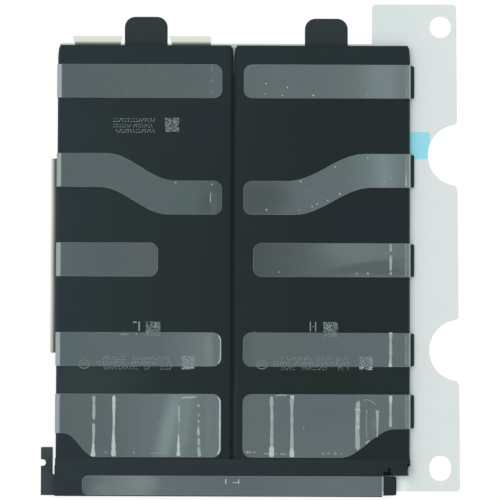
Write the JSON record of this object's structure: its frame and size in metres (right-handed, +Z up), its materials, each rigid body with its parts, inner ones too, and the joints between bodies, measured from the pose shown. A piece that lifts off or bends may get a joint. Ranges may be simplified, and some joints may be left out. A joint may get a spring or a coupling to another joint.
{
  "type": "tablet battery",
  "caption": "Flat two-cell lithium pouch pack with protection board, connector tongue, stretch-release adhesive strips and release liner.",
  "frame": {"origin": "middle of the bounding box, on the surface that the release liner lies on", "axes": "+X along the protection board towards the liner's holes, +Y from the board to the cells' far end, +Z up through the thickness, towards the adhesive side"},
  "size_m": [0.1396, 0.1648, 0.0035],
  "materials": {
    "cell_foil": "satin black pouch foil",
    "aluminium_tab": "bare",
    "nickel_tab": "nickel",
    "board_mask": "satin solder mask",
    "contact_gold": "gold plated",
    "chip_body": "moulded",
    "fuse_body": "plain",
    "capacitor_body": "plain",
    "wrap_tape": "satin polyimide tape",
    "clear_strip": "clear stretch film that greys the foil under it",
    "black_tab": "satin film",
    "white_adhesive": "tacky film",
    "flap_paper": "uncoated",
    "blue_film": "clear film",
    "liner_film": "frosted release film"
  },
  "bodies": {
    "root": {"left_cell": "cell_foil", "right_cell": "cell_foil", "left_positive_tab": "aluminium_tab", "left_negative_tab": "nickel_tab", "right_positive_tab": "aluminium_tab", "right_negative_tab": "nickel_tab", "protection_board": "board_mask", "connector_contacts": "contact_gold", "weld_plates": "nickel_tab", "protection_mosfets": "chip_body", "protection_chip": "chip_body", "fuel_gauge_chip": "chip_body", "sense_resistor": "chip_body", "thermal_fuse": "fuse_body", "thermistor": "capacitor_body", "capacitors": "capacitor_body", "board_wrap": "wrap_tape", "front_strip": "clear_strip", "front_strip_tab": "black_tab", "left_under_strip": "white_adhesive", "right_under_strip": "white_adhesive", "left_far_tab": "black_tab", "right_far_tab": "black_tab", "first_far_flap": "flap_paper", "second_far_flap": "flap_paper", "side_flap": "flap_paper", "liner_tab": "blue_film", "release_liner": "liner_film", "left_strip_1": "clear_strip", "left_strip_tab_1": "black_tab", "left_strip_2": "clear_strip", "left_strip_tab_2": "black_tab", "left_strip_3": "clear_strip", "left_strip_tab_3": "black_tab", "left_strip_4": "clear_strip", "left_strip_tab_4": "black_tab", "left_strip_5": "clear_strip", "left_strip_tab_5": "black_tab", "right_strip_1": "clear_strip", "right_strip_tab_1": "black_tab", "right_strip_2": "clear_strip", "right_strip_tab_2": "black_tab", "right_strip_3": "clear_strip", "right_strip_tab_3": "black_tab", "right_strip_4": "clear_strip", "right_strip_tab_4": "black_tab", "right_strip_5": "clear_strip", "right_strip_tab_5": "black_tab"}
  },
  "joints": []
}
